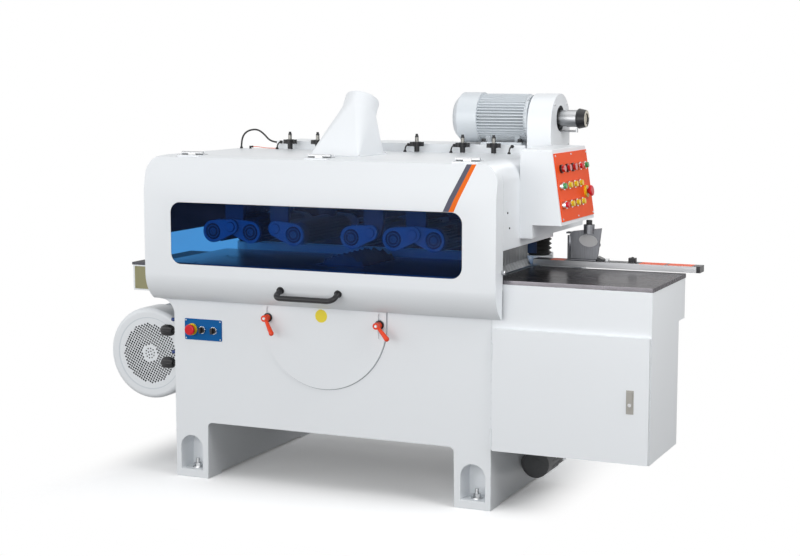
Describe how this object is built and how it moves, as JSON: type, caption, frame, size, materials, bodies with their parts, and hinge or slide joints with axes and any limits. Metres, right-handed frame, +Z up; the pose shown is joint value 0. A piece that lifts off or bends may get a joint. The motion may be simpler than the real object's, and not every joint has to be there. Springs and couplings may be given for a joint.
{
  "type": "multi-rip saw",
  "caption": "Floor-standing multi-blade rip saw with a lifting roller-feed head under a windowed hood, infeed table on a cabinet, dust hood and side control box.",
  "frame": {"origin": "on the floor, at the centre of the four anchor holes", "axes": "+X to the infeed end, +Y to the back, +Z up; timber travels towards -X"},
  "size_m": [2.283, 1.0649, 1.4613],
  "materials": {
    "white_paint": "semi-gloss white",
    "ground_steel": "ground",
    "tool_steel": "satin",
    "cast_grey": "machined casting",
    "arm_paint": "light grey-blue",
    "chrome": "polished",
    "black_plastic": "matt",
    "black_rubber": "matt",
    "window_blue": "dark blue tint",
    "panel_orange": "gloss orange-red",
    "plate_blue": "satin blue",
    "stop_red": "gloss red",
    "button_yellow": "gloss",
    "lever_orange": "gloss orange-red",
    "fence_aluminium": "anodised"
  },
  "bodies": {
    "base": {"base_frame": "white_paint", "bed_plates": "ground_steel", "infeed_cabinet": "white_paint", "infeed_table": "ground_steel", "outfeed_table": "white_paint", "arbor_bearings": "cast_grey", "main_motor": "white_paint", "motor_fan_cover": "white_paint", "belt_guard": "white_paint", "drive_belts": "black_rubber", "switch_plate": "plate_blue", "lift_columns": "tool_steel", "column_bellows": "black_rubber", "lift_motor": "white_paint"},
    "door": {"cabinet_door": "white_paint"},
    "latch": {"door_latch": "chrome"},
    "arbor": {"saw_arbor": "tool_steel", "saw_blades": "tool_steel"},
    "motor_rotor": {"motor_pulley": "tool_steel"},
    "cover": {"arbor_cover": "white_paint"},
    "lever_left": {"clamp_lever_left": "lever_orange"},
    "lever_right": {"clamp_lever_right": "lever_orange"},
    "base_stop": {"station_stop": "stop_red"},
    "left_selector": {"selector_left": "black_plastic"},
    "right_selector": {"selector_right": "black_plastic"},
    "fence": {"fence_bar": "fence_aluminium", "fence_bracket": "tool_steel"},
    "fence_knob": {"fence_clamp": "black_plastic"},
    "head": {"head_housing": "white_paint", "dust_hood": "white_paint", "roller_hangers": "cast_grey", "pressure_screws": "tool_steel", "feed_motor": "white_paint", "variator_guard": "white_paint", "feed_gearbox": "cast_grey", "control_box": "white_paint", "control_panel": "panel_orange", "oil_hoses": "black_rubber", "speed_sleeve": "fence_aluminium"},
    "hood": {"hood_shell": "white_paint", "hood_window": "window_blue", "hood_handle": "black_plastic"},
    "sheave": {"variator_sheave": "tool_steel"},
    "handwheel": {"speed_handwheel": "black_plastic"},
    "head_stop": {"panel_stop": "stop_red"},
    "buttons": {"push_buttons": "button_yellow"},
    "fingers": {"kickback_fingers": "tool_steel"},
    "knobs": {"star_knobs": "black_plastic"},
    "arm_1": {"swing_arm_1": "arm_paint"},
    "roller_1": {"feed_roller_1": "tool_steel"},
    "arm_2": {"swing_arm_2": "arm_paint"},
    "roller_2": {"feed_roller_2": "tool_steel"},
    "arm_3": {"swing_arm_3": "arm_paint"},
    "roller_3": {"feed_roller_3": "tool_steel"},
    "arm_4": {"swing_arm_4": "arm_paint"},
    "roller_4": {"feed_roller_4": "tool_steel"},
    "arm_5": {"swing_arm_5": "arm_paint"},
    "roller_5": {"feed_roller_5": "tool_steel"},
    "arm_6": {"swing_arm_6": "arm_paint"},
    "roller_6": {"feed_roller_6": "tool_steel"}
  },
  "joints": [
    {"name": "head_lift", "type": "slide", "parent": "base", "child": "head", "axis": [0, 0, 1], "range_m": [0, 0.06], "deforming": ["column_bellows"]},
    {"name": "hood_hinge", "type": "hinge", "parent": "head", "child": "hood", "pos_m": [0, -0.433, 1.233], "axis": [-1, 0, 0], "range_deg": [0, 80]},
    {"name": "door_hinge", "type": "hinge", "parent": "base", "child": "door", "pos_m": [0.642, -0.437, 0.45], "axis": [0, 0, -1], "range_deg": [0, 110]},
    {"name": "latch_flap", "type": "hinge", "parent": "door", "child": "latch", "pos_m": [1.1395, -0.4465, 0.468], "axis": [-1, 0, 0], "range_deg": [0, 35]},
    {"name": "arbor_spin", "type": "hinge", "parent": "base", "child": "arbor", "pos_m": [0, 0, 0.715], "axis": [0, 1, 0], "continuous": true},
    {"name": "motor_spin", "type": "hinge", "parent": "base", "child": "motor_rotor", "pos_m": [-0.845, 0.4, 0.435], "axis": [0, 1, 0], "continuous": true},
    {"name": "cover_lift", "type": "slide", "parent": "base", "child": "cover", "axis": [0, 0, 1], "range_m": [0, 0.045]},
    {"name": "left_lever_turn", "type": "hinge", "parent": "base", "child": "lever_left", "pos_m": [-0.233, -0.45, 0.636], "axis": [0, 1, 0], "range_deg": [-100, 40]},
    {"name": "right_lever_turn", "type": "hinge", "parent": "base", "child": "lever_right", "pos_m": [0.217, -0.45, 0.636], "axis": [0, 1, 0], "range_deg": [-100, 40]},
    {"name": "base_stop_press", "type": "slide", "parent": "base", "child": "base_stop", "axis": [0, 1, 0], "range_m": [0, 0.005]},
    {"name": "left_selector_turn", "type": "hinge", "parent": "base", "child": "left_selector", "pos_m": [-0.515, -0.44, 0.571], "axis": [0, 1, 0], "range_deg": [-45, 45]},
    {"name": "right_selector_turn", "type": "hinge", "parent": "base", "child": "right_selector", "pos_m": [-0.466, -0.44, 0.571], "axis": [0, 1, 0], "range_deg": [-45, 45]},
    {"name": "fence_slide", "type": "slide", "parent": "base", "child": "fence", "axis": [0, 1, 0], "range_m": [-0.2, 0]},
    {"name": "fence_knob_turn", "type": "hinge", "parent": "fence", "child": "fence_knob", "pos_m": [0.839, 0.043, 0.985], "axis": [0, 0, 1], "continuous": true},
    {"name": "sheave_spin", "type": "hinge", "parent": "head", "child": "sheave", "pos_m": [0.62, 0.218, 1.357], "axis": [1, 0, 0], "continuous": true},
    {"name": "handwheel_turn", "type": "hinge", "parent": "head", "child": "handwheel", "pos_m": [0.77, 0.218, 1.357], "axis": [1, 0, 0], "continuous": true},
    {"name": "head_stop_press", "type": "slide", "parent": "head", "child": "head_stop", "axis": [-0.9893, 0, -0.1456], "range_m": [0, 0.005]},
    {"name": "buttons_press", "type": "slide", "parent": "head", "child": "buttons", "axis": [-0.9893, 0, -0.1456], "range_m": [0, 0.004], "stiffness_N_per_m": 500, "springref_m": -0.004},
    {"name": "finger_swing", "type": "hinge", "parent": "head", "child": "fingers", "pos_m": [0.62, 0, 0.968], "axis": [0, 1, 0], "range_deg": [0, 60]},
    {"name": "knob_rise", "type": "slide", "parent": "head", "child": "knobs", "axis": [0, 0, 1], "range_m": [0, 0.01]},
    {"name": "arm_1_swing", "type": "hinge", "parent": "head", "child": "arm_1", "pos_m": [-0.392, 0, 0.963], "axis": [0, 1, 0], "range_deg": [0, 28]},
    {"name": "roller_1_spin", "type": "hinge", "parent": "arm_1", "child": "roller_1", "pos_m": [-0.466, 0, 0.944], "axis": [0, 1, 0], "continuous": true},
    {"name": "arm_2_swing", "type": "hinge", "parent": "head", "child": "arm_2", "pos_m": [-0.392, 0, 0.963], "axis": [0, -1, 0], "range_deg": [0, 28]},
    {"name": "roller_2_spin", "type": "hinge", "parent": "arm_2", "child": "roller_2", "pos_m": [-0.318, 0, 0.944], "axis": [0, 1, 0], "continuous": true},
    {"name": "arm_3_swing", "type": "hinge", "parent": "head", "child": "arm_3", "pos_m": [-0.205, 0, 0.963], "axis": [0, -1, 0], "range_deg": [0, 28]},
    {"name": "roller_3_spin", "type": "hinge", "parent": "arm_3", "child": "roller_3", "pos_m": [-0.131, 0, 0.944], "axis": [0, 1, 0], "continuous": true},
    {"name": "arm_4_swing", "type": "hinge", "parent": "head", "child": "arm_4", "pos_m": [0.175, 0, 0.963], "axis": [0, 1, 0], "range_deg": [0, 28]},
    {"name": "roller_4_spin", "type": "hinge", "parent": "arm_4", "child": "roller_4", "pos_m": [0.101, 0, 0.944], "axis": [0, 1, 0], "continuous": true},
    {"name": "arm_5_swing", "type": "hinge", "parent": "head", "child": "arm_5", "pos_m": [0.34, 0, 0.963], "axis": [0, 1, 0], "range_deg": [0, 28]},
    {"name": "roller_5_spin", "type": "hinge", "parent": "arm_5", "child": "roller_5", "pos_m": [0.266, 0, 0.944], "axis": [0, 1, 0], "continuous": true},
    {"name": "arm_6_swing", "type": "hinge", "parent": "head", "child": "arm_6", "pos_m": [0.34, 0, 0.963], "axis": [0, -1, 0], "range_deg": [0, 28]},
    {"name": "roller_6_spin", "type": "hinge", "parent": "arm_6", "child": "roller_6", "pos_m": [0.414, 0, 0.944], "axis": [0, 1, 0], "continuous": true}
  ],
  "couplings": [
    {"joint": "motor_spin", "follows": "arbor_spin", "ratio": 0.6829},
    {"joint": "roller_2_spin", "follows": "roller_1_spin", "ratio": 1},
    {"joint": "roller_3_spin", "follows": "roller_1_spin", "ratio": 1},
    {"joint": "roller_4_spin", "follows": "roller_1_spin", "ratio": 1},
    {"joint": "roller_5_spin", "follows": "roller_1_spin", "ratio": 1},
    {"joint": "roller_6_spin", "follows": "roller_1_spin", "ratio": 1}
  ]
}
